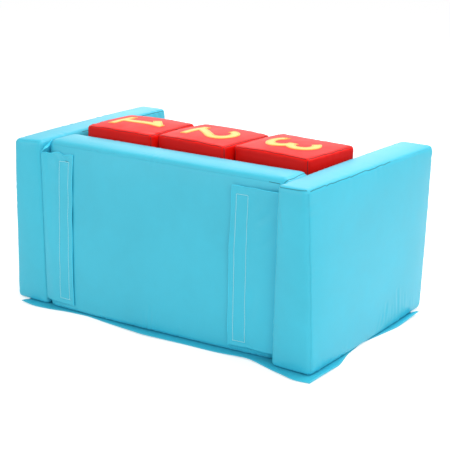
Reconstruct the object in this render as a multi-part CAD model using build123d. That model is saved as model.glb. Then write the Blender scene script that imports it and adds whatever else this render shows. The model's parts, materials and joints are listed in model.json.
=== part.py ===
from build123d import *
import os
from math import cos, radians, sin

# A soft-play foam container: a front wall and two end walls on a floor sheet, open at the back,
# with stacks of numbered soft bricks. X runs along the container, Y from its front to its back,
# Z up. The origin is the middle of the underside. All sizes are in millimetres.

# ---- Bricks ----
brick_length = 270.0
brick_depth = 210.0
brick_height = 104.5
brick_columns = 3
brick_layers = 5
brick_corner = 12.0  # rounding of the upright corners
brick_edge = 6.0  # rounding of the top and bottom edges
brick_swell = 2.5  # how far the middle of a side stands out
brick_crown = 3.0  # how far the middle of an uncovered top stands up
column_gap = 8.0  # between neighbouring stacks
stack_end_gap = 24.5  # between the outer stacks and the end walls
stack_front_gap = 8.0  # between the stacks and the top of the front wall
stack_shift = ((13.0, 1.0), (14.0, 6.0), (10.5, 14.0))  # how far each stack lies off its place
stack_turn = (-0.5, -5.0, -5.4)  # and how far it is turned, in degrees

# ---- Numerals sewn on the bricks ----
numeral_height = 172.0
numeral_width = 104.0
numeral_stroke = 27.0
numeral_thickness = 1.0

# ---- End walls ----
end_wall_height = 500.0
end_wall_depth = 618.0
end_wall_thickness = 100.0
end_wall_corner = 17.0
end_wall_edge = 12.0
end_wall_foot_edge = 7.0
end_wall_crown = 7.0  # bulge of the outer face
end_wall_front_swell = 2.0
end_wall_top_crown = 2.0
rise_allowance = 6.0  # extra height that the crown of the top trims away
foot_spread_left = 36.0  # how far the foot stands in at the front corner
foot_spread_right = 32.0
foot_kick_left = 19.0  # how far the foot of the left wall's front stands forward
foot_kick_right = -8.0  # and the right wall's, which stands back
top_turn_left = 30.0  # how far the inner front corner of the left wall's top stands back
inner_splay = 10.0  # how far the inner face stands out at the open back
outer_lean = 8.0  # how far the outer face leans in at the top of the front
outer_splay = 20.0  # how far it stands out at the top of the open back
foot_tuck = 6.0  # and how far it stands in at the foot there

# ---- Front wall ----
front_wall_thickness = 115.0
front_wall_corner = 27.0
front_wall_edge = 24.0
front_wall_foot_edge = 9.0
front_wall_crown = 4.0
front_wall_recess = 55.0  # behind the fronts of the end walls, at the top
foot_recess_left = -20.0  # the same at the foot, where the wall is kicked out
foot_recess_right = 40.0
foot_kick_inner = 25.0  # how far the foot of the inner face stands in front of its top
foot_bow = 9.0  # how far the middle of the front face stands out at the foot
top_bow = 0.5  # and at the top
front_wall_end_gap = 1.0

# ---- Skins and fits ----
cover_thickness = 1.0
foam_gap = 0.3  # between a foam core and its cover
rest_gap = 0.3  # between pieces that only lie against each other
sewn_gap = 0.1  # between pieces that are sewn together

# ---- Floor sheet ----
sheet_layer = 1.2
sheet_length = 1038.0
sheet_depth = 600.0
sheet_front_reach = 42.0  # in front of the end walls
sheet_end_reach = 13.0  # past the foot of the right end wall
sheet_corner = 8.0
sheet_hem = 3.0  # the lower layer is cut this much smaller all round

# ---- Closing flaps, with a hook strip that grips a loop strip on the front wall ----
left_flap_reach = 114.0  # from the end wall to the free edge
right_flap_reach = 168.0
left_flap_lean = 37.0  # how much further the free edge reaches at the foot of the wall
right_flap_lean = 5.0
flap_foot = 20.0  # from the foot of the wall
flap_height = 445.0
flap_thickness = 1.6
flap_hem = 12.0  # from the free edge to the hook strip
flap_seam_radius = 1.5  # the rolled seam that the flap turns on
strip_width = 42.0
strip_foot = 14.0  # from the flap's lower edge to the strip
strip_height = 412.0
hook_thickness = 1.5
loop_thickness = 1.5
tape_gap = 0.5  # between the hook strip and the flap that it is stitched under

# ---- Zips ----
zip_tape_width = 28.0
zip_tape_thickness = 0.8
zip_chain_width = 6.0
zip_chain_thickness = 2.4
zip_end_margin = 34.0  # from each end of the face to the tape
front_zip_foot = 34.0  # from the foot of the front wall to the middle of its zip
slider_width = 11.0
slider_length = 16.0
slider_wall = 1.4
slider_gap = 0.3
slider_margin = 12.0  # from each end of the tape to the chain

# ---- Worked out from the sizes above ----
inside_length = (
    brick_columns * brick_length + (brick_columns - 1) * column_gap + 2 * stack_end_gap
)
inner_face = inside_length / 2
outer_face = inner_face + end_wall_thickness
sheet_top = 2 * sheet_layer
foot = sheet_top + rest_gap
wall_top = foot + end_wall_height
slider_height = sewn_gap + zip_tape_thickness + slider_gap + zip_chain_thickness + slider_wall
overall_depth = sheet_front_reach + end_wall_depth + slider_height
front_y = sheet_front_reach - overall_depth / 2
back_y = front_y + end_wall_depth
inner_face_top = front_y + front_wall_recess + front_wall_thickness
stack_y = inner_face_top + stack_front_gap + brick_depth / 2
stack_step = brick_length + column_gap
layer_step = brick_height + rest_gap


def plan_outline(corners, swells, corner_radius, height):
    """A level outline with rounded corners, whose sides stand out by their swells."""
    points = [Vector(x, y, height) for x, y in corners]
    edges = []
    for here, after, swell in zip(points, points[1:] + points[:1], swells):
        if swell > 0:
            outward = (after - here).normalized().cross(Vector(0, 0, 1))
            edges.append(ThreePointArc(here, (here + after) * 0.5 + outward * swell, after))
        else:
            edges.append(Line(here, after))
    outline = make_face(Wire(edges))
    return fillet(outline.vertices(), corner_radius)


def swell_at(share):
    """Nothing at either end of a face, and one halfway."""
    return 4 * share * (1 - share)


def dome_radius(half_width, crown):
    """Radius of a shallow rise that falls by crown over half a width."""
    return (half_width**2 + crown**2) / (2 * crown)


def dome(half_width, crown, top):
    """A ball whose top is a shallow rise on the Z axis, turned to keep its poles off the rise."""
    radius = dome_radius(half_width, crown)
    return Pos(0, 0, top - radius) * Sphere(radius, rotation=(90, 0, 0))


def round_ends(body, top_radius, foot_radius):
    """Rounds the edges of the highest and lowest faces."""
    body = fillet(body.faces().sort_by(Axis.Z)[-1].edges(), top_radius)
    return fillet(body.faces().sort_by(Axis.Z)[0].edges(), foot_radius)


def level_at(height):
    """A height as a share of the walls' height."""
    return (height - foot) / end_wall_height


def cover_and_foam(body_at):
    """A cover with its foam core, from a function that gives the cushion at an inset."""
    foam = body_at(cover_thickness + foam_gap)
    return body_at(0) - body_at(cover_thickness), foam


# ---- End walls ----
def inner_face_at(side, y, level):
    """Distance from the middle to an end wall's inner face, -1 left or 1 right."""
    foot_spread = foot_spread_left if side < 0 else foot_spread_right
    share = (y - front_y) / end_wall_depth
    return inner_face - foot_spread * (1 - level) * (1 - share) + inner_splay * share


def outer_face_at(y, level):
    """Distance from the middle to an end wall's outer face."""
    share = (y - front_y) / end_wall_depth
    at_back = outer_splay * level - foot_tuck * (1 - level)
    return outer_face - outer_lean * level * (1 - share) + at_back * share


def end_front_at(side, level):
    """Y of an end wall's front face, -1 left or 1 right."""
    foot_kick = foot_kick_left if side < 0 else foot_kick_right
    return front_y - foot_kick * (1 - level)


def inner_front_at(side, level):
    """The same at the wall's inner corner, which on the left is turned back at the top."""
    return end_front_at(side, level) + (top_turn_left * level if side < 0 else 0)


def end_wall_body(side, inset):
    """An end wall's cushion as if it were on the right, made smaller by inset on every side."""
    bottom = foot + inset
    top = wall_top - inset
    sections = []
    for part in (0, 0.5, 1):
        height = bottom + part * (top + rise_allowance - bottom)
        level = level_at(height)
        near_y = end_front_at(side, level)
        turned_y = inner_front_at(side, level)
        corners = [
            (inner_face_at(side, turned_y, level) + inset, turned_y + inset),
            (outer_face_at(near_y, level) - inset, near_y + inset),
            (outer_face_at(back_y, level) - inset, back_y - inset),
            (inner_face_at(side, back_y, level) + inset, back_y - inset),
        ]
        fullness = 0.35 + 0.65 * swell_at(part)
        swells = (end_wall_front_swell * fullness, end_wall_crown * fullness, 0, 0)
        sections.append(plan_outline(corners, swells, end_wall_corner - inset, height))
    rise = dome(end_wall_depth / 2, end_wall_top_crown, top)
    middle = Pos(inner_face + end_wall_thickness / 2, (front_y + back_y) / 2)
    body = loft(sections) & middle * rise
    return round_ends(body, end_wall_edge - inset, end_wall_foot_edge - inset)


# ---- Front wall ----
def front_corner(side, level):
    """The front wall's front corner on one side, -1 left or 1 right, as x and y."""
    foot_recess = foot_recess_left if side < 0 else foot_recess_right
    y = front_y + foot_recess + (front_wall_recess - foot_recess) * level
    return side * (inner_face_at(side, y, level) - front_wall_end_gap), y


def front_bow_at(level):
    """How far the middle of the front wall's front face stands out from its two ends."""
    return foot_bow + (top_bow - foot_bow) * level


def front_face_at(x, level):
    """Y of the front wall's crowned and bowed front face."""
    left_x, left_y = front_corner(-1, level)
    right_x, right_y = front_corner(1, level)
    share = (x - left_x) / (right_x - left_x)
    straight = left_y + share * (right_y - left_y) - front_wall_crown * swell_at(level)
    return straight - front_bow_at(level) * swell_at(share)


def back_face_at(level):
    """Y of the front wall's inner face."""
    return inner_face_top - foot_kick_inner * (1 - level)


def front_wall_body(inset):
    """The front wall's cushion, whose foot is kicked out further on the left."""
    bottom = foot + inset
    top = wall_top - inset
    sections = []
    for part in (0, 0.5, 1):
        height = bottom + part * (top - bottom)
        level = level_at(height)
        left_x = front_corner(-1, level)[0]
        right_x = front_corner(1, level)[0]
        corners = [
            (left_x + inset, front_face_at(left_x, level) + inset),
            (right_x - inset, front_face_at(right_x, level) + inset),
            (right_x - inset, back_face_at(level) - inset),
            (left_x + inset, back_face_at(level) - inset),
        ]
        swells = (front_bow_at(level), 0, 0, 0)
        sections.append(plan_outline(corners, swells, front_wall_corner - inset, height))
    return round_ends(loft(sections), front_wall_edge - inset, front_wall_foot_edge - inset)


# ---- Closing flaps ----
strip_low = foot + flap_foot + strip_foot
hook_gap = sewn_gap + loop_thickness + rest_gap
flap_gap = hook_gap + hook_thickness + tape_gap


def free_edge_at(side, height):
    """X of a flap's free edge, which leans towards the middle at the foot."""
    reach, lean = left_flap_reach, left_flap_lean
    if side > 0:
        reach, lean = right_flap_reach, right_flap_lean
    return side * (inner_face - reach - lean * (1 - level_at(height)))


def front_strip(side, gap, thickness):
    """A strip near a flap's free edge that stands off the front wall's face by gap."""
    sections = []
    for part in (0, 0.5, 1):
        height = strip_low + part * strip_height
        near_x = free_edge_at(side, height) + side * flap_hem
        far_x = near_x + side * strip_width
        near_y = front_face_at(near_x, level_at(height)) - gap
        far_y = front_face_at(far_x, level_at(height)) - gap
        points = [
            (near_x, near_y, height),
            (far_x, far_y, height),
            (far_x, far_y - thickness, height),
            (near_x, near_y - thickness, height),
        ]
        sections.append(make_face(Polyline(*points, close=True)))
    return loft(sections)


def flap_seam_at(side, height):
    """The middle of the rolled seam: on the left just off the end wall's rounded front corner,
    and on the right on its inner face, close in front of the front wall."""
    level = level_at(height)
    if side < 0:
        near_y = end_front_at(side, level)
        turned_y = inner_front_at(side, level)
        corner = Vector(inner_face_at(side, turned_y, level), turned_y)
        front_edge = Vector(outer_face_at(near_y, level), near_y) - corner
        inner_edge = Vector(inner_face_at(side, back_y, level), back_y) - corner
        inwards = (front_edge.normalized() + inner_edge.normalized()).normalized()
        half_angle = radians(front_edge.get_angle(inner_edge) / 2)
        stand_off = end_wall_corner + end_wall_front_swell / 2 + rest_gap + flap_seam_radius
        seam = corner + inwards * (end_wall_corner / sin(half_angle) - stand_off)
        return Vector(-seam.X, seam.Y, height)
    y = front_corner(side, level)[1] - flap_gap - front_wall_crown - flap_seam_radius
    return Vector(inner_face_at(side, y, level) - rest_gap - flap_seam_radius, y, height)


def flap_seam_ends(side):
    """The lower and upper end of the line that a flap turns on."""
    low = foot + flap_foot
    return flap_seam_at(side, low), flap_seam_at(side, low + flap_height)


def flap(side):
    """A rolled seam, a stretch that bridges the groove and one that lies on the front wall."""
    half = Vector(0, flap_thickness / 2, 0)
    through = Vector(0, flap_thickness, 0)
    sections = []
    seam_low, seam_high = flap_seam_ends(side)
    for part in (0, 0.5, 1):
        height = foot + flap_foot + part * flap_height
        seam = seam_low + (seam_high - seam_low) * part
        free_x = free_edge_at(side, height)
        landing_x = free_x + side * (flap_hem + strip_width + flap_hem)
        landing = Vector(landing_x, front_face_at(landing_x, level_at(height)) - flap_gap, height)
        free = Vector(free_x, front_face_at(free_x, level_at(height)) - flap_gap, height)
        points = [seam + half, landing, free, free - through, landing - through, seam - half]
        sections.append(make_face(Polyline(*points, close=True)))
    seam_plane = Plane(seam_low, z_dir=seam_high - seam_low)
    roll_length = (seam_high - seam_low).length
    return loft(sections) + Solid.make_cylinder(flap_seam_radius, roll_length, seam_plane)


# ---- Zips, each with its tape along local X and its chain standing out along local Z ----
def zip_strip(length):
    """A tape with a closed chain along its middle."""
    tape_middle = sewn_gap + zip_tape_thickness / 2
    chain_middle = sewn_gap + zip_tape_thickness + zip_chain_thickness / 2
    tape = Pos(0, 0, tape_middle) * Box(length, zip_tape_width, zip_tape_thickness)
    chain = Box(length - 2 * slider_margin, zip_chain_width, zip_chain_thickness)
    return tape + Pos(0, 0, chain_middle) * chain


def zip_slider(length):
    """A slider that straddles the chain at its closed end, the low end of local X."""
    chain_foot = sewn_gap + zip_tape_thickness
    body_height = slider_height - chain_foot - slider_gap
    body = Box(slider_length, slider_width, body_height)
    body = fillet(body.edges().filter_by(Axis.Z), slider_wall)
    body = Pos(0, 0, slider_height - body_height / 2) * body
    channel_height = chain_foot + zip_chain_thickness + slider_gap
    channel = Box(slider_length, zip_chain_width + 2 * slider_gap, 2 * channel_height)
    closed_x = slider_margin + slider_length / 2 - length / 2
    return Pos(closed_x, 0, 0) * (body - channel)


# ---- Bricks ----
def brick_body(inset, crown):
    """A brick's cushion on the middle of its foot, with its top domed by crown."""
    bottom = inset
    top = brick_height + crown - inset
    half_x = brick_length / 2 - brick_swell - inset
    half_y = brick_depth / 2 - brick_swell - inset
    corners = [(-half_x, -half_y), (half_x, -half_y), (half_x, half_y), (-half_x, half_y)]
    outline = plan_outline(corners, (brick_swell,) * 4, brick_corner - inset, bottom)
    body = extrude(outline, amount=top - bottom)
    if crown > 0:
        body &= dome(brick_length / 2, crown, top)
    return round_ends(body, brick_edge - inset, brick_edge - inset)


# ---- Numerals: flat shapes about the origin, upright along Y ----
half_stroke = numeral_stroke / 2
stroke_x = numeral_width / 2 - half_stroke
stroke_y = numeral_height / 2 - half_stroke


def bar(start, end):
    """A straight stroke between two points, with square ends."""
    along = (Vector(end) - Vector(start)).normalized()
    across = Vector(-along.Y, along.X) * half_stroke
    points = [Vector(start) + across, Vector(start) - across, Vector(end) - across, Vector(end) + across]
    return make_face(Polyline(*points, close=True))


def bow(centre_y, radius, start_angle, turn):
    """A round stroke about a point on the upright middle line."""
    centre = Vector(0, centre_y)
    outer = CenterArc(centre, radius + half_stroke, start_angle, turn)
    inner = CenterArc(centre, radius - half_stroke, start_angle, turn)
    ends = [Line(inner @ 0, outer @ 0), Line(inner @ 1, outer @ 1)]
    return make_face(Wire([outer, inner] + ends))


def numeral_one():
    stem = bar((0, -stroke_y), (0, numeral_height / 2))
    flag = bar((0, stroke_y), (-stroke_x, stroke_y - stroke_x))
    base = bar((-numeral_width / 2, -stroke_y), (numeral_width / 2, -stroke_y))
    return stem + flag + base


def numeral_two():
    centre_y = stroke_y - stroke_x
    end_angle = -35
    end = (stroke_x * cos(radians(end_angle)), centre_y + stroke_x * sin(radians(end_angle)))
    slope = bar(end, (half_stroke - stroke_x, -stroke_y))
    base = bar((-numeral_width / 2, -stroke_y), (numeral_width / 2, -stroke_y))
    return bow(centre_y, stroke_x, end_angle, 180 - end_angle) + slope + base


def numeral_three():
    upper_radius = stroke_y / 2
    upper = bow(stroke_y - upper_radius, upper_radius, -90, 240)
    lower = bow(stroke_x - stroke_y, stroke_x, -150, 240)
    return upper + lower


numerals = (numeral_one, numeral_two, numeral_three)


def sewn_numeral(outline):
    """A numeral cut from sheet, following a brick's domed top, upright towards +X."""
    lower = dome(brick_length / 2, brick_crown, brick_height + brick_crown + sewn_gap)
    block = extrude(Rot(0, 0, -90) * outline, amount=2 * brick_height)
    return (block & Pos(0, 0, numeral_thickness) * lower) - lower


def brick_place(column, layer):
    """Where a brick stands. Each stack lies a little off its place, and turned."""
    shift_x, shift_y = stack_shift[column]
    x = (column - (brick_columns - 1) / 2) * stack_step + shift_x
    return Pos(x, stack_y + shift_y, foot + layer * layer_step) * Rot(0, 0, stack_turn[column])


# ---- Assembly ----
def floor_layer(lower_z, set_back):
    """One layer of the floor sheet, with its right edge just past the foot of the right end wall."""
    right = outer_face + sheet_end_reach
    sheet = RectangleRounded(sheet_length - 2 * set_back, sheet_depth - 2 * set_back, sheet_corner)
    middle_y = front_y - sheet_front_reach + sheet_depth / 2
    return Pos(right - sheet_length / 2, middle_y, lower_z) * extrude(sheet, amount=sheet_layer)


def floor_nodes():
    return {
        "floor_sheet_lower": floor_layer(0, sheet_hem),
        "floor_sheet_upper": floor_layer(sheet_layer, 0),
    }


def front_wall_nodes():
    cover, foam = cover_and_foam(front_wall_body)
    nodes = {"front_wall_cover": cover, "front_wall_foam": foam}
    for name, side in (("left", -1), ("right", 1)):
        nodes[f"front_wall_loop_strip_{name}"] = front_strip(side, sewn_gap, loop_thickness)
    zip_height = foot + front_zip_foot
    zip_length = 2 * (inner_face - foot_spread_left - zip_end_margin)
    lean = Vector(0, foot_kick_inner, end_wall_height)
    zip_plane = Plane(
        (0, back_face_at(level_at(zip_height)), zip_height),
        x_dir=(1, 0, 0),
        z_dir=Vector(1, 0, 0).cross(lean) * -1,
    )
    nodes["front_wall_zip"] = zip_plane * zip_strip(zip_length)
    nodes["front_wall_zip_slider"] = zip_plane * zip_slider(zip_length)
    return nodes


def end_wall_nodes():
    zip_length = end_wall_height - 2 * zip_end_margin
    zip_x = inner_face + end_wall_thickness / 2
    zip_plane = Plane((zip_x, back_y, foot + end_wall_height / 2), x_dir=(0, 0, 1), z_dir=(0, 1, 0))
    nodes = {}
    for side_name, side in (("left", -1), ("right", 1)):
        cover, foam = cover_and_foam(lambda inset: end_wall_body(side, inset))
        pieces = {
            "cover": cover,
            "foam": foam,
            "zip": zip_plane * zip_strip(zip_length),
            "zip_slider": zip_plane * zip_slider(zip_length),
        }
        for name, piece in pieces.items():
            placed = mirror(piece, about=Plane.YZ) if side < 0 else piece
            nodes[f"{side_name}_end_wall_{name}"] = placed
    return nodes


def flap_nodes():
    nodes = {}
    for name, side in (("left", -1), ("right", 1)):
        nodes[f"{name}_flap"] = flap(side)
        nodes[f"{name}_flap_hook_strip"] = front_strip(side, hook_gap, hook_thickness)
    return nodes


def brick_nodes():
    plain = cover_and_foam(lambda inset: brick_body(inset, 0))
    domed = cover_and_foam(lambda inset: brick_body(inset, brick_crown))
    nodes = {}
    for column in range(brick_columns):
        for layer in range(brick_layers):
            name = f"brick_{column + 1}_{layer + 1}"
            place = brick_place(column, layer)
            uppermost = layer == brick_layers - 1
            cover, foam = domed if uppermost else plain
            nodes[f"{name}_cover"] = place * cover
            nodes[f"{name}_foam"] = place * foam
            if uppermost:
                nodes[f"{name}_numeral"] = place * sewn_numeral(numerals[column]())
    return nodes


os.makedirs("parts", exist_ok=True)
nodes = floor_nodes() | front_wall_nodes() | end_wall_nodes() | flap_nodes() | brick_nodes()
for name, solid in nodes.items():
    export_step(solid, f"parts/{name}.step")

for side_name, turning_side in (("left", -1), ("right", 1)):
    seam_low, seam_high = flap_seam_ends(turning_side)
    print(f"{side_name} flap turns on a line from {seam_low} to {seam_high}")
print(f"stack middle y {stack_y:.2f}, foot {foot:.2f}, layer step {layer_step:.2f}, top {wall_top:.2f}")
print(f"end walls from y {front_y:.2f} to {back_y:.2f}")
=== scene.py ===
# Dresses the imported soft-play container: padded walls, numbered soft bricks, closing flaps and a
# floor sheet. Metres, +Z up. X runs along the container, Y from its front to its open back.
import json
from itertools import product
from math import cos, radians, sin, tau

import bmesh
import bpy
import numpy as np
from mathutils import Matrix, Vector
from mathutils.bvhtree import BVHTree


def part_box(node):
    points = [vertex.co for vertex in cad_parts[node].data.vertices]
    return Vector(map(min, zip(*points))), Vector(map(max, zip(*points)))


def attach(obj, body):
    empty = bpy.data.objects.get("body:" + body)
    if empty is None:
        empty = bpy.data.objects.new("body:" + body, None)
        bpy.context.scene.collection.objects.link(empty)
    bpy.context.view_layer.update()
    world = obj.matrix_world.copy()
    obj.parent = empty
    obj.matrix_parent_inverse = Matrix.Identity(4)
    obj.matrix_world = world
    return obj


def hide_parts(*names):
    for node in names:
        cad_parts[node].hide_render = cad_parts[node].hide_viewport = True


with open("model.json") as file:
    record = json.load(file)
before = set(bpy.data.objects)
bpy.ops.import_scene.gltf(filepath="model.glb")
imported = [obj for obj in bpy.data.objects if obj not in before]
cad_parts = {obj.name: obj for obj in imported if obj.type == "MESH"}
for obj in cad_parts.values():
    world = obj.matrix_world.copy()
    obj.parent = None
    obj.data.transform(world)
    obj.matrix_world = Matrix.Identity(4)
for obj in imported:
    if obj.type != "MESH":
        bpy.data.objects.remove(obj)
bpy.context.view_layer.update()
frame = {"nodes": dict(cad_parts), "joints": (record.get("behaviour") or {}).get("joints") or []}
nodes = frame["nodes"]

cameraSettings = {
    "place": (1.96, -2.4555, 1.2077),
    "heading": 37.9,  # degrees that it is turned from looking along +Y
    "downward": 17.0,
    "roll": -1.03,
    "lens": 88.0,
}


def aimCamera(settings):
    heading, downward, roll = (radians(settings[k]) for k in ("heading", "downward", "roll"))
    forward = Vector(
        (-sin(heading) * cos(downward), cos(heading) * cos(downward), -sin(downward))
    )
    level = Vector((cos(heading), sin(heading), 0))
    upright = level.cross(forward)
    right = cos(roll) * level + sin(roll) * upright
    up = cos(roll) * upright - sin(roll) * level
    turned = Matrix((right, up, -forward)).transposed().to_4x4()
    lens = bpy.data.cameras.new("camera")
    lens.lens = settings["lens"]
    viewer = bpy.data.objects.new("camera", lens)
    viewer.matrix_world = Matrix.Translation(settings["place"]) @ turned
    bpy.context.scene.collection.objects.link(viewer)
    bpy.context.scene.camera = viewer


aimCamera(cameraSettings)
bpy.context.scene.view_settings.view_transform = "Standard"
print("camera placed")


class Socket:  # shader maths: each operator adds a Math node
    def __init__(self, finish, socket):
        self.finish = finish
        self.socket = socket

    def maths(self, operation, first, second=0.0):
        return self.finish.node("ShaderNodeMath", {"operation": operation}, {0: first, 1: second})

    def __add__(self, other):
        return self.maths("ADD", self, other)

    def __sub__(self, other):
        return self.maths("SUBTRACT", self, other)

    def __mul__(self, other):
        return self.maths("MULTIPLY", self, other)

    def __radd__(self, other):
        return self.maths("ADD", other, self)

    def __rsub__(self, other):
        return self.maths("SUBTRACT", other, self)

    def __rmul__(self, other):
        return self.maths("MULTIPLY", other, self)


class Finish:  # the nodes of one material, or of the world
    def __init__(self, name, kind="materials"):
        self.material = getattr(bpy.data, kind).new(name)
        self.material.use_nodes = True
        self.tree = self.material.node_tree
        self.tree.nodes.clear()

    def node(self, kind, settings=None, inputs=None, output=0):
        made = self.tree.nodes.new(kind)
        for name, value in (settings or {}).items():
            if name == "stops":
                self.setStops(made.color_ramp, value)
            else:
                setattr(made, name, value)
        for name, value in (inputs or {}).items():
            if isinstance(value, Socket):
                self.tree.links.new(value.socket, made.inputs[name])
            else:
                made.inputs[name].default_value = value
        return Socket(self, made.outputs[output]) if made.outputs else None

    def setStops(self, ramp, stops):
        while len(ramp.elements) < len(stops):
            ramp.elements.new(1.0)
        for element, (position, colour) in zip(ramp.elements, stops):
            element.position = position
            element.color = (*colour, 1)

    def place(self):
        return self.node("ShaderNodeTexCoord", output="Object")

    def noise(self, scale, detail=2.0, roughness=0.5):
        return self.node(
            "ShaderNodeTexNoise",
            inputs={
                "Vector": self.place(),
                "Scale": scale,
                "Detail": detail,
                "Roughness": roughness,
            },
        )

    def ramp(self, amount, stops):
        return self.node("ShaderNodeValToRGB", {"stops": stops}, {"Fac": amount})

    def bump(self, height, distance, strength=1.0):
        return self.node(
            "ShaderNodeBump",
            inputs={"Height": height, "Distance": distance, "Strength": strength},
        )

    def finish(self, varying, fixed=None):
        inputs = {**(fixed or {}), **varying}
        surface = self.node("ShaderNodeBsdfPrincipled", inputs=inputs)
        self.node("ShaderNodeOutputMaterial", inputs={"Surface": surface})
        return self.material


def shade(colour, factor):
    return tuple(min(1.0, channel * factor) for channel in colour)


vinylSettings = {
    "grain": 1400.0,  # per metre, the fine embossing of the coated fabric
    "grainDepth": 0.00006,
    "weave": 640.0,
    "weaveDepth": 0.00005,
    "cloud": 4.0,
    "rub": 26.0,
    "roughness": 0.40,
    "roughnessSpread": 0.14,
    "coat": 0.10,
    "coatRoughness": 0.30,
    "specular": 0.35,
}
redSettings = {**vinylSettings, "coat": 0.0, "specular": 0.14, "roughness": 0.44}
turquoise = (0.052, 0.560, 0.740)
red = (0.860, 0.006, 0.003)
yellow = (1.000, 0.600, 0.100)


def coatedFabric(name, colour, settings, lift=1.0):
    # coated fabric: a faint woven ground under a fine emboss, with soft clouds and rubbed spots
    look = Finish(name)
    grain = look.noise(settings["grain"], 3.0, 0.6)
    weave = look.node(
        "ShaderNodeTexVoronoi",
        {"feature": "SMOOTH_F1"},
        {"Vector": look.place(), "Scale": settings["weave"], "Smoothness": 0.6},
        output="Distance",
    )
    cloud = look.noise(settings["cloud"], 3.0, 0.5)
    rub = look.noise(settings["rub"], 5.0, 0.6)
    height = grain * settings["grainDepth"] + weave * settings["weaveDepth"]
    # lift makes lit and shaded copies of one vinyl: above 1 it is painted light, below 1 painted
    # shade
    base = look.ramp(
        cloud * 0.7 + rub * 0.3,
        [(0.30, shade(colour, 0.95 * lift)), (0.70, shade(colour, 1.05 * lift))],
    )
    rough = settings["roughness"] + (rub - 0.5) * settings["roughnessSpread"]
    return look.finish(
        {"Base Color": base, "Roughness": rough, "Normal": look.bump(height, 1.0, 0.5)},
        {
            "Coat Weight": settings["coat"],
            "Coat Roughness": settings["coatRoughness"],
            "Specular IOR Level": settings["specular"],
        },
    )


def thread(name, colour, twist=2600.0):
    look = Finish(name)
    strands = look.noise(twist, 2.0)
    base = look.ramp(strands, [(0.3, shade(colour, 0.8)), (0.7, colour)])
    bump = look.bump(strands, 0.0001)
    return look.finish({"Base Color": base, "Roughness": 0.55 + strands * 0.2, "Normal": bump})


def wovenTape(name, colour, ribs=900.0, depth=0.00025):
    look = Finish(name)
    pile = look.noise(ribs, 3.0, 0.7)
    base = look.ramp(pile, [(0.3, shade(colour, 0.6)), (0.7, shade(colour, 1.2))])
    bump = look.bump(pile, depth)
    return look.finish({"Base Color": base, "Roughness": 0.8 + pile * 0.15, "Normal": bump})


def openFoam(name, colour):
    look = Finish(name)
    cells = look.node(
        "ShaderNodeTexVoronoi", {}, {"Vector": look.place(), "Scale": 700.0}, output="Distance"
    )
    base = look.ramp(cells, [(0.0, shade(colour, 0.75)), (0.6, colour)])
    return look.finish(
        {"Base Color": base, "Roughness": 0.9 + cells * 0.05, "Normal": look.bump(cells, 0.0004)}
    )


def enamel(name, colour):
    look = Finish(name)
    wear = look.noise(220.0, 3.0)
    base = look.ramp(wear, [(0.35, shade(colour, 0.9)), (0.7, colour)])
    return look.finish({"Base Color": base, "Roughness": 0.28 + wear * 0.12}, {"Metallic": 0.3})


finishes = {
    "turquoiseVinyl": coatedFabric("turquoiseVinyl", turquoise, vinylSettings),
    # painted light: the flap's vinyl is the walls' turquoise made 2% lighter
    "flapVinyl": coatedFabric("flapVinyl", turquoise, vinylSettings, 1.02),
    # painted shade: the floor sheet's vinyl is the walls' turquoise made 3% darker
    "floorVinyl": coatedFabric("floorVinyl", turquoise, vinylSettings, 0.97),
    "redVinyl": coatedFabric("redVinyl", red, redSettings),
    "yellowVinyl": coatedFabric("yellowVinyl", yellow, vinylSettings),
    # painted shade: a dark cord for the shade in the gaping stretches of the walls' seams
    "turquoiseSeam": thread("turquoiseSeam", shade(turquoise, 0.30)),
    # painted shade: the walls' turquoise made 10% darker for the cords along the closed seams
    "turquoiseFold": coatedFabric("turquoiseFold", turquoise, vinylSettings, 0.90),
    # painted highlight: the walls' turquoise made 30% lighter, for the flaps' rims and the seam
    # tail as if they caught the light
    "flapEdge": coatedFabric("flapEdge", turquoise, vinylSettings, 1.30),
    # painted shade: a dark red cord for the shade in the bricks' seams
    "redSeam": thread("redSeam", shade(red, 0.32)),
    "paleThread": thread("paleThread", (0.52, 0.94, 1.0)),
    "turquoiseThread": thread("turquoiseThread", shade(turquoise, 1.2)),
    "yellowThread": thread("yellowThread", (0.80, 0.42, 0.06)),
    "loopTape": wovenTape("loopTape", shade(turquoise, 0.55)),
    "hookTape": wovenTape("hookTape", shade(turquoise, 0.45), 1500.0, 0.0004),
    "zipTape": wovenTape("zipTape", shade(turquoise, 0.6), 1200.0, 0.0001),
    "zipTeeth": enamel("zipTeeth", shade(turquoise, 0.5)),
    "sliderEnamel": enamel("sliderEnamel", shade(turquoise, 0.6)),
    "coreFoam": openFoam("coreFoam", (0.78, 0.75, 0.66)),
}
print("finishes made")


def piece(name, vertices, faces, finish, edges=()):
    mesh = bpy.data.meshes.new(name)
    mesh.from_pydata([tuple(v) for v in vertices], edges, faces)
    made = bpy.data.objects.new(name, mesh)
    bpy.context.scene.collection.objects.link(made)
    mesh.materials.append(finishes[finish])
    mesh.polygons.foreach_set("use_smooth", [True] * len(mesh.polygons))
    return made


def flatten(made):
    # the piece with its modifiers becomes one plain mesh
    graph = bpy.context.evaluated_depsgraph_get()
    mesh = bpy.data.meshes.new_from_object(made.evaluated_get(graph), depsgraph=graph)
    made.modifiers.clear()
    made.data = mesh
    mesh.polygons.foreach_set("use_smooth", [True] * len(mesh.polygons))
    return made


def pointsOf(made):
    points = np.zeros(len(made.data.vertices) * 3)
    made.data.vertices.foreach_get("co", points)
    return points.reshape(-1, 3)


def normalsOf(made):
    normals = np.zeros(len(made.data.vertices) * 3)
    made.data.vertices.foreach_get("normal", normals)
    return normals.reshape(-1, 3)


def setPoints(made, points):
    made.data.vertices.foreach_set("co", np.ascontiguousarray(points, float).ravel())
    made.data.update()


def surfaceOf(made):
    mesh = made.data
    return BVHTree.FromPolygons(
        [v.co for v in mesh.vertices], [tuple(p.vertices) for p in mesh.polygons]
    )


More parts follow.
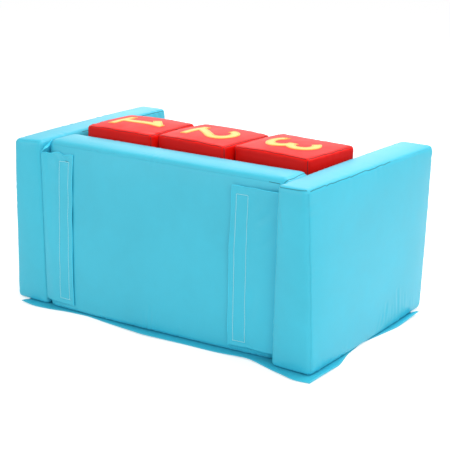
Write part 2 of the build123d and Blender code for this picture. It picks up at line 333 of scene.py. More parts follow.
def gridFaces(rows, columns):
    return [
        (r * columns + c, r * columns + c + 1, (r + 1) * columns + c + 1, (r + 1) * columns + c)
        for r, c in product(range(rows - 1), range(columns - 1))
    ]


def ripple(points, wavelength, seed, waves=7):
    # smooth seeded unevenness, about -1 to 1, summed from waves in all directions
    points = np.asarray(points, float)
    if points.ndim == 1:
        points = points[:, None]
    random = np.random.default_rng(seed)
    total = np.zeros(len(points))
    for _ in range(waves):
        direction = random.normal(size=points.shape[1])
        direction /= np.linalg.norm(direction)
        length = wavelength * random.uniform(0.7, 1.5)
        total += np.sin(points @ direction * tau / length + random.uniform(0, tau))
    return total / waves**0.5


def smooth(low, high, values):
    share = np.clip((values - low) / (high - low), 0, 1)
    return share * share * (3 - 2 * share)


class Tree:  # Geometry Nodes that follow a path
    def __init__(self, name, sockets):
        self.group = bpy.data.node_groups.new(name, "GeometryNodeTree")
        face = self.group.interface
        face.new_socket("Geometry", in_out="INPUT", socket_type="NodeSocketGeometry")
        for socketName, socketType in sockets:
            face.new_socket(socketName, in_out="INPUT", socket_type=socketType)
        face.new_socket("Geometry", in_out="OUTPUT", socket_type="NodeSocketGeometry")
        self.inputs = self.group.nodes.new("NodeGroupInput")
        self.output = self.group.nodes.new("NodeGroupOutput")

    def node(self, kind, settings=None, inputs=None):
        made = self.group.nodes.new(kind)
        for name, value in (settings or {}).items():
            setattr(made, name, value)
        for name, value in (inputs or {}).items():
            if hasattr(value, "is_linked"):
                self.group.links.new(value, made.inputs[name])
            else:
                made.inputs[name].default_value = value
        return made.outputs

    def given(self, name):
        return self.inputs.outputs[name]

    def end(self, geometry):
        real = self.node("GeometryNodeRealizeInstances", inputs={"Geometry": geometry})[0]
        smoothed = self.node("GeometryNodeSetShadeSmooth", inputs={"Geometry": real})[0]
        painted = self.node(
            "GeometryNodeSetMaterial",
            inputs={"Geometry": smoothed, "Material": self.given("Material")},
        )[0]
        self.group.links.new(painted, self.output.inputs["Geometry"])
        return self.group


def seamTree():
    tree = Tree("sewnSeam", [("Radius", "NodeSocketFloat"), ("Material", "NodeSocketMaterial")])
    line = tree.node("GeometryNodeMeshToCurve", inputs={"Mesh": tree.given("Geometry")})[0]
    ring = tree.node(
        "GeometryNodeCurvePrimitiveCircle",
        inputs={"Resolution": 6, "Radius": tree.given("Radius")},
    )[0]
    tube = tree.node(
        "GeometryNodeCurveToMesh",
        inputs={"Curve": line, "Profile Curve": ring, "Fill Caps": True},
    )[0]
    return tree.end(tube)


def stitchTree(name, axis):
    # short rods that lie along the path where axis is Z, and across it where it is X
    tree = Tree(
        name,
        [
            ("Pitch", "NodeSocketFloat"),
            ("Length", "NodeSocketFloat"),
            ("Radius", "NodeSocketFloat"),
            ("Material", "NodeSocketMaterial"),
        ],
    )
    line = tree.node("GeometryNodeMeshToCurve", inputs={"Mesh": tree.given("Geometry")})[0]
    spots = tree.node(
        "GeometryNodeResampleCurve",
        {"mode": "LENGTH"},
        {"Curve": line, "Length": tree.given("Pitch")},
    )[0]
    along = tree.node("GeometryNodeInputTangent")[0]
    turn = tree.node("FunctionNodeAlignRotationToVector", {"axis": axis}, {"Vector": along})[0]
    stitch = tree.node(
        "GeometryNodeMeshCylinder",
        inputs={
            "Vertices": 6,
            "Side Segments": 1,
            "Radius": tree.given("Radius"),
            "Depth": tree.given("Length"),
        },
    )[0]
    placed = tree.node(
        "GeometryNodeInstanceOnPoints",
        inputs={"Points": spots, "Instance": stitch, "Rotation": turn},
    )[0]
    return tree.end(placed)


sewnSeam = seamTree()
stitches = stitchTree("stitches", "Z")
coilTeeth = stitchTree("coilTeeth", "X")
stitchSettings = {"Pitch": 0.0042, "Length": 0.0032, "Radius": 0.00042}
flapStitchSettings = {"Pitch": 0.0044, "Length": 0.0038, "Radius": 0.00070}
toothSettings = {"Pitch": 0.0028, "Length": 0.0056, "Radius": 0.00085}


def fit(made, body, slotName, *replaced):
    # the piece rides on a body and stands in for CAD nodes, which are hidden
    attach(made, body)
    if replaced:
        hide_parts(*replaced)
    return made


def alongPaths(name, paths, tree, values, finish, body, slotName="turquoise_vinyl"):
    # a seam or a row of stitches that follows paths, as one plain mesh on a body
    vertices = [point for path in paths for point in path]
    edges, start = [], 0
    for path in paths:
        edges += [(start + i, start + i + 1) for i in range(len(path) - 1)]
        start += len(path)
    made = piece(name, vertices, [], finish, edges)
    grown = made.modifiers.new(name, "NODES")
    grown.node_group = tree
    for item in tree.interface.items_tree:
        if item.in_out == "INPUT" and item.name in values:
            grown[item.identifier] = values[item.name]
        if item.in_out == "INPUT" and item.name == "Material":
            grown[item.identifier] = finishes[finish]
    return fit(flatten(made), body, slotName)


def outerSkin(node):
    # the outside of a CAD cover, without the wall of its cavity
    form = bmesh.new()
    form.from_mesh(nodes[node].data)
    bmesh.ops.remove_doubles(form, verts=form.verts, dist=1e-6)
    form.verts.ensure_lookup_table()
    unseen, shells = set(form.verts), []
    while unseen:
        shell, waiting = set(), [unseen.pop()]
        while waiting:
            vertex = waiting.pop()
            shell.add(vertex)
            for edge in vertex.link_edges:
                other = edge.other_vert(vertex)
                if other in unseen:
                    unseen.remove(other)
                    waiting.append(other)
        shells.append(shell)
    widest = max(shells, key=lambda s: max(v.co.z for v in s) - min(v.co.z for v in s))
    bmesh.ops.delete(form, geom=[v for v in form.verts if v not in widest], context="VERTS")
    mesh = bpy.data.meshes.new(node + "Skin")
    form.to_mesh(mesh)
    form.free()
    return mesh


def cushionFrom(node, name, finish, voxel):
    made = bpy.data.objects.new(name, outerSkin(node))
    bpy.context.scene.collection.objects.link(made)
    remesh = made.modifiers.new("remesh", "REMESH")
    remesh.mode = "VOXEL"
    remesh.voxel_size = voxel
    flatten(made)
    made.data.materials.clear()
    made.data.materials.append(finishes[finish])
    return made


def cornersOf(made):
    # the eight corners of a cushion, keyed by the side that each is on along X, Y and Z
    points = pointsOf(made)
    middle = (points.max(0) + points.min(0)) / 2
    half = (points.max(0) - points.min(0)) / 2
    scaled = (points - middle) / half
    return {
        key: points[np.argmax(scaled @ np.array(key))] for key in product((-1, 1), repeat=3)
    }


def edgesOf(corners):
    # each seam: its two corners and the direction that it faces
    for key in corners:
        for axis in range(3):
            if key[axis] < 0:
                other = tuple(1 if i == axis else k for i, k in enumerate(key))
                facing = np.array([0 if i == axis else k for i, k in enumerate(key)], float)
                yield key, other, facing / 2**0.5


def seamLines(made, spacing, wander, seed, sag=None):
    # paths along the cushion's twelve edges, lying on its skin
    surface, corners, lines = surfaceOf(made), cornersOf(made), {}
    for number, (start, end, facing) in enumerate(edgesOf(corners)):
        low, high = corners[start], corners[end]
        length = np.linalg.norm(high - low)
        shares = np.linspace(0, 1, max(8, round(length / spacing)))
        axis = int(np.argmax(np.array(end) - np.array(start)))
        aside = np.cross(np.eye(3)[axis], facing)
        pull = (sag or {}).get((start, end), 0.0)
        shift = ripple(shares * length, 0.09, seed + number) * wander + pull
        shift = shift * np.sin(shares * tau / 2)
        path = []
        for share, step in zip(shares, shift):
            aim = low + (high - low) * share + facing * 0.015 + aside * step
            path.append(np.array(surface.find_nearest(Vector(aim))[0]))
        lines[(start, end)] = np.array(path)
    return lines


def fromLine(points, line):
    # each point's distance from a seam and its place along it
    start, span = line[0], line[-1] - line[0]
    length = np.linalg.norm(span)
    share = np.clip((points - start) @ span / length**2, 0, 1)
    known = (line - start) @ span / length**2
    near = np.column_stack([np.interp(share, known, line[:, k]) for k in range(3)])
    return np.linalg.norm(points - near, axis=1), share * length


def addCloth(made, settings, lines):
    points = pointsOf(made)
    distance = np.min([fromLine(points, line)[0] for line in lines.values()], axis=0)
    held = 1 - smooth(settings["seamHold"], 3 * settings["seamHold"], distance)
    group = made.vertex_groups.new(name="seams")
    for index in np.flatnonzero(held > 0.01):
        group.add([int(index)], float(held[index]), "REPLACE")
    cloth = made.modifiers.new("cloth", "CLOTH")
    cloth.settings.quality = settings["quality"]
    cloth.settings.mass = settings["mass"]
    cloth.settings.tension_stiffness = settings["stiffness"]
    cloth.settings.compression_stiffness = settings["stiffness"]
    cloth.settings.bending_stiffness = settings["bending"]
    cloth.settings.use_pressure = True
    cloth.settings.uniform_pressure_force = settings["pressure"]
    cloth.settings.effector_weights.gravity = 0
    cloth.settings.vertex_group_mass = "seams"
    cloth.point_cache.frame_start = 1
    cloth.point_cache.frame_end = settings["frames"]


def capped(rest, moved, normals, caps):
    # how far each point may move, by the side of the cushion that it is on
    limit = np.zeros(len(rest))
    for axis in range(3):
        side = np.where(normals[:, axis] > 0, caps[axis][1], caps[axis][0])
        limit += normals[:, axis] ** 2 * side
    step = moved - rest
    length = np.linalg.norm(step, axis=1)
    allowed = limit * np.tanh(length / np.maximum(limit, 1e-6))
    return rest + step * (allowed / np.maximum(length, 1e-9))[:, None]


def inflate(cushions, settings):
    # every cushion is blown up at once against its sewn seams
    rest = {name: (pointsOf(c["piece"]), normalsOf(c["piece"])) for name, c in cushions.items()}
    for cushion in cushions.values():
        addCloth(cushion["piece"], settings, cushion["lines"])
    for step in range(1, settings["frames"] + 1):
        bpy.context.scene.frame_set(step)
    for cushion in cushions.values():
        flatten(cushion["piece"])
    bpy.context.scene.frame_set(1)
    for name, cushion in cushions.items():
        points, normals = rest[name]
        made = cushion["piece"]
        setPoints(made, capped(points, pointsOf(made), normals, cushion["caps"]))
        made.vertex_groups.clear()
        print(name, "inflated", len(made.data.vertices))


def subdivide(made, levels=1):
    soft = made.modifiers.new("soft", "SUBSURF")
    soft.levels = levels
    soft.render_levels = levels
    return flatten(made)


def creased(points, creases):
    # how far each point is pushed by creases: a furrow between two low ridges, fading at its ends
    push = np.zeros(len(points))
    for start, end, width, depth in creases:
        start, span = np.array(start), np.array(end) - np.array(start)
        share = (points - start) @ span / (span @ span)
        near = start + np.clip(share, 0, 1)[:, None] * span
        away = np.linalg.norm(points - near, axis=1) / width
        fade = smooth(-0.35, 0.15, share) * smooth(1.35, 0.55, share)
        push -= depth * fade * (np.exp(-(away**2)) - 0.55 * np.exp(-((away - 2.0) ** 2)))
    return push


def pucker(made, lines, settings, seed, creases=()):
    # gathers and grooves along the seams, and the slow unevenness of soft foam
    points, normals = pointsOf(made), normalsOf(made)
    push = settings["unevenness"] * ripple(points, settings["unevenLength"], seed)
    for number, line in enumerate(lines.values()):
        distance, along = fromLine(points, line)
        gathers = ripple(along, settings["gatherLength"], seed + number)
        patches = smooth(-0.2, 0.9, ripple(along, 6 * settings["gatherLength"], seed + 50 + number))
        push += settings["gather"] * gathers * patches * np.exp(-distance / settings["gatherReach"])
        push -= settings["groove"] * np.exp(-((distance / settings["grooveWidth"]) ** 2))
    push += creased(points, creases)
    setPoints(made, points + normals * push[:, None])


clothSettings = {
    "quality": 4,
    "mass": 0.25,
    "pressure": 5.0,
    "stiffness": 12.0,
    "bending": 2.0,
    "seamHold": 0.006,
    "frames": 20,
}
voxelSize = 0.006
wallHeadroom, brickHeadroom = 0.006, 0.005  # how far a cushion may swell above its CAD top
wallPucker = {
    "unevenness": 0.0007,
    "unevenLength": 0.30,
    "gather": 0.0007,
    "gatherLength": 0.028,
    "gatherReach": 0.018,
    "groove": 0.0010,
    "grooveWidth": 0.0035,
    "wander": 0.0015,
}
brickPucker = {
    "unevenness": 0.0009,
    "unevenLength": 0.12,
    "gather": 0.0009,
    "gatherLength": 0.030,
    "gatherReach": 0.012,
    "groove": 0.0008,
    "grooveWidth": 0.003,
    "wander": 0.0022,
    "seamRadius": 0.0010,
}
# caps: how far each side may swell, the two limits along X, along Y and along Z
# dark: seams that gape, where a dark cord is painted shade for the gap, keyed by their two corners,
# with the share of their length that does
# sag: how far a seam is pulled down over the face beside it, halfway along
# creases: start, end, width and depth
walls = {
    "leftEndWall": {
        "node": "left_end_wall",
        "body": "left_end_wall",
        "caps": ((0.005, 0.001), (0.003, 0.004), (0.0, 0.003)),
        "seed": 11,
        "dark": {((1, -1, 1), (1, 1, 1)): (0.30, 1.0)},
        "sag": {((-1, -1, 1), (1, -1, 1)): 0.003},
        "creases": (
            ((-0.430, -0.292, 0.470), (-0.462, -0.296, 0.420), 0.006, 0.0012),
            ((-0.438, -0.290, 0.380), (-0.450, -0.296, 0.300), 0.007, 0.0010),
            ((-0.528, -0.296, 0.030), (-0.500, -0.298, 0.085), 0.007, 0.0012),
            ((-0.555, -0.05, 0.015), (-0.555, -0.08, 0.090), 0.007, 0.0014),
            ((-0.555, 0.12, 0.015), (-0.555, 0.10, 0.075), 0.006, 0.0013),
        ),
    },
    "rightEndWall": {
        "node": "right_end_wall",
        "body": "right_end_wall",
        "caps": ((0.001, 0.005), (0.003, 0.004), (0.0, 0.003)),
        "seed": 23,
        "dark": {
            ((-1, -1, 1), (1, -1, 1)): (0.0, 1.0),
            ((1, -1, 1), (1, 1, 1)): (0.0, 0.62),
            ((-1, -1, 1), (-1, 1, 1)): (0.0, 0.10),
        },
        "sag": {((-1, -1, 1), (1, -1, 1)): 0.006},
        "creases": (
            ((0.545, 0.062, 0.010), (0.547, 0.075, 0.062), 0.005, 0.0015),
            ((0.545, 0.092, 0.008), (0.547, 0.094, 0.088), 0.006, 0.0017),
            ((0.545, 0.132, 0.008), (0.547, 0.124, 0.072), 0.005, 0.0013),
            ((0.545, 0.172, 0.008), (0.548, 0.152, 0.112), 0.006, 0.0017),
            ((0.545, 0.212, 0.008), (0.547, 0.196, 0.086), 0.005, 0.0012),
            ((0.543, 0.262, 0.012), (0.545, 0.252, 0.056), 0.005, 0.0010),
            ((0.440, -0.290, 0.452), (0.449, -0.290, 0.380), 0.005, 0.0014),
            ((0.526, -0.292, 0.482), (0.521, -0.292, 0.440), 0.005, 0.0010),
        ),
    },
    "frontWall": {
        "node": "front_wall",
        "body": "base",
        "caps": ((0.0, 0.0), (0.004, 0.002), (0.0, 0.003)),
        "seed": 37,
        "dark": {((1, -1, 1), (1, 1, 1)): (0.0, 1.0), ((-1, -1, 1), (1, -1, 1)): (0.955, 1.0)},
        "sag": {},
        "creases": (
            ((-0.021, -0.285, 0.006), (-0.024, -0.285, 0.058), 0.005, 0.0011),
            ((-0.003, -0.285, 0.004), (-0.002, -0.285, 0.080), 0.005, 0.0015),
            ((0.013, -0.285, 0.010), (0.015, -0.285, 0.050), 0.004, 0.0008),
            ((0.090, -0.280, 0.004), (0.094, -0.280, 0.036), 0.005, 0.0007),
            ((-0.215, -0.285, 0.004), (-0.212, -0.285, 0.040), 0.006, 0.0007),
        ),
    },
}
# Seams are dark cords, painted shade in the gaping stretches; Welts are slightly darker cords,
# painted shade along the rest
seamKinds = {
    "Seams": {"finish": "turquoiseSeam", "radius": 0.00085},
    "Welts": {"finish": "turquoiseFold", "radius": 0.00070},
}
brickLayers = 5
# turn: degrees that the stack's numerals are turned by, with its bricks
# seeds: of the uppermost brick's seams, and of the brick's below it
stacks = {
    1: {"turn": -0.5, "seeds": (61, 71)},
    2: {"turn": -5.0, "seeds": (62, 72)},
    3: {"turn": -5.4, "seeds": (63, 73)},
}
brickCaps = ((0.0008, 0.0008), (0.0015, 0.0015))
brickTopCaps = ((0.0, 0.004), (0.0, 0.0))  # of the uppermost brick, and of the one below it
brickSeamWander = 0.002


def startCushion(node, name, finish, caps, wander, seed):
    made = cushionFrom(node + "_cover", name, finish, voxelSize)
    return {"piece": made, "lines": seamLines(made, 0.005, wander, seed), "caps": caps}


cushions = {
    name: startCushion(wall["node"], name, "turquoiseVinyl", wall["caps"], 0.0, wall["seed"])
    for name, wall in walls.items()
}
for down, topCaps in enumerate(brickTopCaps):  # two bricks are inflated for each stack
    for column, stack in stacks.items():
        key = f"brick_{column}_{brickLayers - down}"
        caps, seed = (*brickCaps, topCaps), stack["seeds"][down]
        cushions[key] = startCushion(key, key, "redVinyl", caps, brickSeamWander, seed)
print("cushions cut and remeshed")
inflate(cushions, clothSettings)


def cover(made, node, body, seed, settings, slotName, headroom, sag=None, creases=()):
    # gathers, creases and the fitting of one inflated cushion onto its body in place of its CAD
    # cover and foam, which gives its seam lines
    low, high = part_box(node + "_cover")
    lines = seamLines(made, 0.005, settings["wander"], seed, sag)
    pucker(made, lines, settings, seed, creases)
    points = pointsOf(made)
    points[:, 2] = np.clip(points[:, 2], low.z, high.z + headroom)
    setPoints(made, points)
    fit(made, body, slotName, node + "_cover", node + "_foam")
    return seamLines(made, 0.004, settings["wander"], seed, sag)


def splitLines(lines, dark):
    # the stretches of the seams that gape, which get the dark cords of painted shade, and the rest
    gaping, closed = [], []
    for key, line in lines.items():
        start, end = (round(share * (len(line) - 1)) for share in dark.get(key, (0, 0)))
        if end > start:
            gaping.append(line[start : end + 1])
        closed += [part for part in (line[: start + 1], line[end:]) if len(part) > 1]
    return gaping, closed


for name, wall in walls.items():
    made = subdivide(cushions[name]["piece"])
    lines = cover(
        made,
        wall["node"],
        wall["body"],
        wall["seed"],
        wallPucker,
        "turquoise_vinyl",
        wallHeadroom,
        wall["sag"],
        wall["creases"],
    )
    for (kind, seam), paths in zip(seamKinds.items(), splitLines(lines, wall["dark"])):
        radius = {"Radius": seam["radius"]}
        alongPaths(name + kind, paths, sewnSeam, radius, seam["finish"], wall["body"])
    if name == "rightEndWall":
        upright = [lines[((1, -1, -1), (1, -1, 1))]]
        alongPaths(
            name + "Stitches", upright, stitches, stitchSettings, "turquoiseThread", wall["body"]
        )
print("walls sewn")


# the numerals are sheet cut to strokes that are bars and bows
numeralSettings = {
    "height": 0.172,
    "width": 0.104,
    "stroke": 0.027,
    "pairWidth": 0.076,  # each digit of a number with two
    "pairStroke": 0.021,
    "pairSpacing": 0.086,
    "thickness": 0.0010,
    "pressedThickness": 0.0002,  # under a brick that lies on it
    "cell": 0.0022,
    "stitchInset": 0.0036,
}


def digitStrokes(digit, w, h, half):
    # w and h reach from the middle of the digit to the middle line of its outer strokes
    top, low = (0, h - w), (0, w - h)
    rowTop = ("bar", (-w - half, h), (w + half, h))
    rowLow = ("bar", (-w - half, -h), (w + half, -h))
    lean = (w * cos(radians(-35)), h - w + w * sin(radians(-35)))
    return {
        0: [
            ("bow", top, w, 0, 180),
            ("bow", low, w, 180, 180),
            ("bar", (-w, h - w), (-w, w - h)),
            ("bar", (w, h - w), (w, w - h)),
        ],
        1: [("bar", (0, -h), (0, h + half)), ("bar", (0, h), (-w, h - w)), rowLow],
        2: [("bow", top, w, -35, 215), ("bar", lean, (half - w, -h)), rowLow],
        3: [("bow", (0, h / 2), h / 2, -90, 240), ("bow", low, w, -150, 240)],
        4: [
            ("bar", (w * 0.5, -h - half), (w * 0.5, h + half)),
            ("bar", (w * 0.5, h), (-w, -h * 0.3)),
            ("bar", (-w - half, -h * 0.35), (w + half, -h * 0.35)),
        ],
        5: [rowTop, ("bar", (-w, h), (-w, h * 0.05)), ("bow", low, w, -150, 290)],
        6: [("bow", low, w, 0, 360), ("bar", (-w, w - h), (w * 0.3, h + half * 0.5))],
        7: [rowTop, ("bar", (w, h), (-w * 0.4, -h - half))],
        8: [("bow", (0, h / 2 + half / 4), h / 2 - half / 4, 0, 360), ("bow", low, w, 0, 360)],
        9: [("bow", top, w, 0, 360), ("bar", (w, h - w), (-w * 0.3, -h - half * 0.5))],
    }[digit]


def strokeDistance(points, stroke, half):
    if stroke[0] == "bar":
        start, end = np.array(stroke[1], float), np.array(stroke[2], float)
        along = (end - start) / np.linalg.norm(end - start)
        across = np.array((-along[1], along[0]))
        local = points - (start + end) / 2
        past = np.abs(local @ along) - np.linalg.norm(end - start) / 2
        beside = np.abs(local @ across) - half
        outside = np.hypot(np.maximum(past, 0), np.maximum(beside, 0))
        return outside + np.minimum(np.maximum(past, beside), 0)
    _, centre, radius, start, turn = stroke
    local = points - np.array(centre, float)
    angle = (np.degrees(np.arctan2(local[:, 1], local[:, 0])) - start) % 360
    ring = np.abs(np.hypot(*local.T) - radius) - half
    beyond = np.radians(np.minimum(angle - turn, 360 - angle)) * radius
    return np.where(angle <= turn, ring, np.maximum(ring, beyond))


def numberDistance(number, settings):
    # a function of points that is below 0 inside the number's strokes
    digits = [int(c) for c in str(number)]
    pair = len(digits) > 1
    half = (settings["pairStroke"] if pair else settings["stroke"]) / 2
    width = settings["pairWidth"] if pair else settings["width"]
    reachX, reachY = width / 2 - half, settings["height"] / 2 - half
    placed = [
        (stroke, (place - (len(digits) - 1) / 2) * settings["pairSpacing"])
        for place, digit in enumerate(digits)
        for stroke in digitStrokes(digit, reachX, reachY, half)
    ]

    def distance(points):
        return np.min(
            [strokeDistance(points - np.array((x, 0)), s, half) for s, x in placed], axis=0
        )

    return distance


def slopeOf(distance, points, step=0.0002):
    slope = np.column_stack(
        [
            distance(points + np.array(shift)) - distance(points - np.array(shift))
            for shift in ((step, 0), (0, step))
        ]
    )
    return slope / np.maximum(np.linalg.norm(slope, axis=1), 1e-9)[:, None]


def cutShape(distance, halfWidth, halfHeight, cell):
    # a flat mesh of the region where distance is below 0, with its edge on the cut line
    columns, rows = round(2 * halfWidth / cell) + 1, round(2 * halfHeight / cell) + 1
    xs, ys = np.linspace(-halfWidth, halfWidth, columns), np.linspace(-halfHeight, halfHeight, rows)
    points = np.array([(x, y) for y in ys for x in xs])
    depth = distance(points)
    faces = [f for f in gridFaces(rows, columns) if np.mean(depth[list(f)]) < 0]
    used = sorted({v for f in faces for v in f})
    renumber = {old: new for new, old in enumerate(used)}
    faces = [tuple(renumber[v] for v in f) for f in faces]
    points = points[used]
    rim = rimLoops(faces)
    onRim = np.array(sorted({v for loop in rim for v in loop}))
    for _ in range(4):
        points[onRim] -= (
            slopeOf(distance, points[onRim]) * distance(points[onRim])[:, None]
        )
    return points, faces, rim


def rimLoops(faces):
    directed = {(f[i], f[(i + 1) % 4]) for f in faces for i in range(4)}
    after = {}
    for start, end in directed:
        if (end, start) not in directed:
            after.setdefault(start, []).append(end)
    loops = []
    while after:
        start = next(iter(after))
        loop, here = [], start
        while here in after:
            loop.append(here)
            following = after[here].pop()
            if not after[here]:
                del after[here]
            here = following
        loops.append(loop)
    return loops


def sewNumber(number, key, settings, turn, thickness):
    # one number, cut, laid on its brick's top and stitched down inside its edge
    distance = numberDistance(number, settings)
    halfWidth = settings["width"] / 2 if number < 10 else settings["pairSpacing"]
    flat, faces, rim = cutShape(distance, halfWidth, settings["height"] / 2, settings["cell"])
    top = surfaceOf(bpy.data.objects["cover_" + key])
    low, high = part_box(key + "_cover")
    middle = (low + high) / 2
    turned = np.array(((cos(turn), -sin(turn)), (sin(turn), cos(turn))))

    def laid(points, lift):
        across = np.column_stack((points[:, 1], -points[:, 0])) @ turned.T
        result = []
        for x, y in across:
            spot = top.ray_cast(Vector((middle.x + x, middle.y + y, 1)), Vector((0, 0, -1)))[0]
            result.append((spot.x, spot.y, spot.z + lift))
        return np.array(result)

    upper, lower = laid(flat, thickness), laid(flat, -0.0004)
    count = len(flat)
    sides = [
        (a + count, b + count, b, a) for loop in rim for a, b in zip(loop, loop[1:] + loop[:1])
    ]
    under = [tuple(v + count for v in reversed(f)) for f in faces]
    name = "numeral_" + key
    made = piece(name, np.vstack((upper, lower)), faces + sides + under, "yellowVinyl")
    fit(made, key, "yellow_vinyl")
    rows = []
    for loop in rim:
        edge = flat[loop]
        inner = edge - slopeOf(distance, edge) * settings["stitchInset"]
        rows.append(laid(np.vstack((inner, inner[:1])), thickness + 0.0001))
    alongPaths(
        name + "Stitches", rows, stitches, stitchSettings, "yellowThread", key, "yellow_vinyl"
    )
    return made


def brickFrom(model, modelKey, key, turned):
    # a copy of an inflated brick, at another brick's place
    made = bpy.data.objects.new("copy", model.data.copy())
    bpy.context.scene.collection.objects.link(made)
    low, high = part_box(key + "_cover")
    modelLow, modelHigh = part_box(modelKey + "_cover")
    points = pointsOf(made) - np.array((modelLow + modelHigh) / 2)
    if turned:
        points[:, :2] *= -1
    setPoints(made, points + np.array((low + high) / 2))
    return made


bricks = list(product(stacks, range(1, brickLayers + 1)))
for column, layer in bricks:
    key, modelKey = f"brick_{column}_{layer}", f"brick_{column}_{brickLayers - 1}"
    onTop = layer == brickLayers
    made = cushions[key if onTop else modelKey]["piece"]
    if not onTop:
        made = brickFrom(made, modelKey, key, turned=layer % 2)
    subdivide(made)
    made.name = "cover_" + key
    seed = 100 + 10 * column + layer
    headroom = brickHeadroom if onTop else 0.0
    lines = list(cover(made, key, key, seed, brickPucker, "red_vinyl", headroom).values())
    # a dark red cord along each of the brick's edges: painted shade in its seams
    radius = {"Radius": brickPucker["seamRadius"]}
    alongPaths(made.name + "Seams", lines, sewnSeam, radius, "redSeam", key, "red_vinyl")
for column in stacks:
    bpy.data.objects.remove(cushions[f"brick_{column}_{brickLayers - 1}"]["piece"])
for column, layer in bricks:
    key = f"brick_{column}_{layer}"
    number = (brickLayers - layer) * len(stacks) + column
    onTop = layer == brickLayers
    turn = radians(stacks[column]["turn"])
    depth = numeralSettings["thickness" if onTop else "pressedThickness"]
    made = sewNumber(number, key, numeralSettings, turn, depth)
    if onTop:
        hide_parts(key + "_numeral")
print("bricks and numerals sewn")


flapSettings = {
    "thickness": 0.0014,
    "offFace": 0.0042,  # from the front wall to the flap's middle
    "rows": 150,
    "bridgeColumns": 22,
    "lyingColumns": 34,
    "hem": 0.007,
    "hemStep": 0.0006,
    "stitchInset": 0.003,
    "stitchLift": 0.0009,
    "panelLift": 0.0006,
    "rollRadius": 0.0015,
    "edgeRadius": 0.0011,
}
flapSides = {
    "left": {
        "side": -1,
        "edgeLift": -0.0020,
        "bow": 0.003,
        "topWave": 0.0022,
        "seed": 5,
        "creases": (
            ((-0.380, 0, 0.468), (-0.338, 0, 0.446), 0.007, 0.0026),
            ((-0.428, 0, 0.466), (-0.412, 0, 0.405), 0.009, 0.0016),
            ((-0.400, 0, 0.300), (-0.392, 0, 0.215), 0.010, 0.0010),
        ),
    },
    "right": {
        "side": 1,
        "edgeLift": 0.0042,
        "bow": 0.004,
        "topWave": 0.0008,
        "seed": 8,
        "creases": (
            ((0.398, 0, 0.415), (0.345, 0, 0.375), 0.010, 0.0018),
            ((0.408, 0, 0.352), (0.368, 0, 0.318), 0.011, 0.0026),
            ((0.402, 0, 0.300), (0.350, 0, 0.262), 0.012, 0.0014),
            ((0.350, 0, 0.190), (0.336, 0, 0.110), 0.012, 0.0008),
        ),
    },
}
frontSurface = surfaceOf(bpy.data.objects["frontWall"])


def frontFace(x, z, towards=1):
    # Y of the front wall's face, seen from its front or from behind
    spot = frontSurface.ray_cast(Vector((x, -towards, z)), Vector((0, towards, 0)))[0]
    return spot.y


def hingeLine(name):
    joint = next(j for j in frame["joints"] if j["name"] == name)
    return np.array(joint["pos_m"], float), np.array(joint["axis"], float)


def edgeLine(node, towards):
    # X of a leaning piece's edge by height: towards is -1 for its left edge and 1 for its right
    low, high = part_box(node)
    points = pointsOf(nodes[node])
    foot = (points[points[:, 2] < low.z + 0.004][:, 0] * towards).max() * towards
    head = (points[points[:, 2] > high.z - 0.004][:, 0] * towards).max() * towards
    return lambda heights: np.interp(heights, (low.z, high.z), (foot, head))


def flapPoints(name, settings, flapSide):
    low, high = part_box(name + "_flap")
    stripLow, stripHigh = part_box(name + "_flap_hook_strip")
    side = flapSide["side"]
    freeAt = edgeLine(name + "_flap", -side)
    nearAt, farAt = (edgeLine(name + "_flap_hook_strip", s) for s in (-side, side))
    place, axis = hingeLine(name + "_flap_hinge")
    heights = np.linspace(low.z + 0.001, high.z - 0.001, settings["rows"])
    bridge = np.linspace(0, 1, settings["bridgeColumns"], endpoint=False)
    rows = []
    for height in heights:
        free = freeAt(height)
        landing = farAt(height) + nearAt(height) - free
        lying = np.linspace(landing, free, settings["lyingColumns"])
        seam = place + axis * (height - place[2]) / axis[2]
        face = [frontFace(x, height) - settings["offFace"] for x in lying]
        start = np.array((seam[0], seam[1]))
        end = np.array((landing, face[0]))
        slope = np.array((side * 0.02, 0.0))
        lead = start + (end - start) * 0.35 + np.array((0, -flapSide["bow"]))
        t = bridge[:, None]
        curve = (
            start * (1 - t) ** 3
            + 3 * lead * t * (1 - t) ** 2
            + 3 * (end + slope) * t * t * (1 - t)
            + end * t**3
        )
        plan = np.vstack((curve, np.column_stack((lying, face))))
        rows.append(np.column_stack((plan, np.full(len(plan), height))))
    grid = np.array(rows)
    x, z = grid[:, :, 0], grid[:, :, 2]
    shape = x.shape
    free, near, far = (at(heights)[:, None] for at in (freeAt, nearAt, farAt))
    landing = far + near - free
    edge = np.where((x - landing) * side < 0, np.abs(x - landing) / np.abs(free - landing), 0)
    sway = 0.7 + 0.5 * ripple(z.ravel(), 0.16, flapSide["seed"]).reshape(shape)
    lift = flapSide["edgeLift"] * edge**2 * sway
    loose = 0.0007 * ripple(grid.reshape(-1, 3), 0.07, flapSide["seed"] + 1).reshape(shape)
    flat = np.column_stack((x.ravel(), np.zeros(x.size), z.ravel()))
    loose += creased(flat, flapSide["creases"]).reshape(shape)
    away = np.minimum(np.minimum(z - low.z, high.z - z), np.abs(x - free))
    hem = settings["hemStep"] * (1 - smooth(settings["hem"] - 0.001, settings["hem"] + 0.001, away))
    inside = np.minimum(smooth(0, 0.003, side * (x - near)), smooth(0, 0.003, side * (far - x)))
    inside *= smooth(0, 0.003, np.minimum(z - stripLow.z, stripHigh.z - z))
    started = smooth(0, 0.3, np.linspace(0, 1, shape[1]))[None, :]
    grid[:, :, 1] -= lift + (loose + hem + settings["panelLift"] * inside) * started
    wave = ripple(x[-1], 0.05, flapSide["seed"] + 2) * flapSide["topWave"] * started
    grid[:, :, 2] += wave * smooth(high.z - 0.03, high.z, z)
    return grid, (nearAt, farAt, stripLow.z, stripHigh.z)


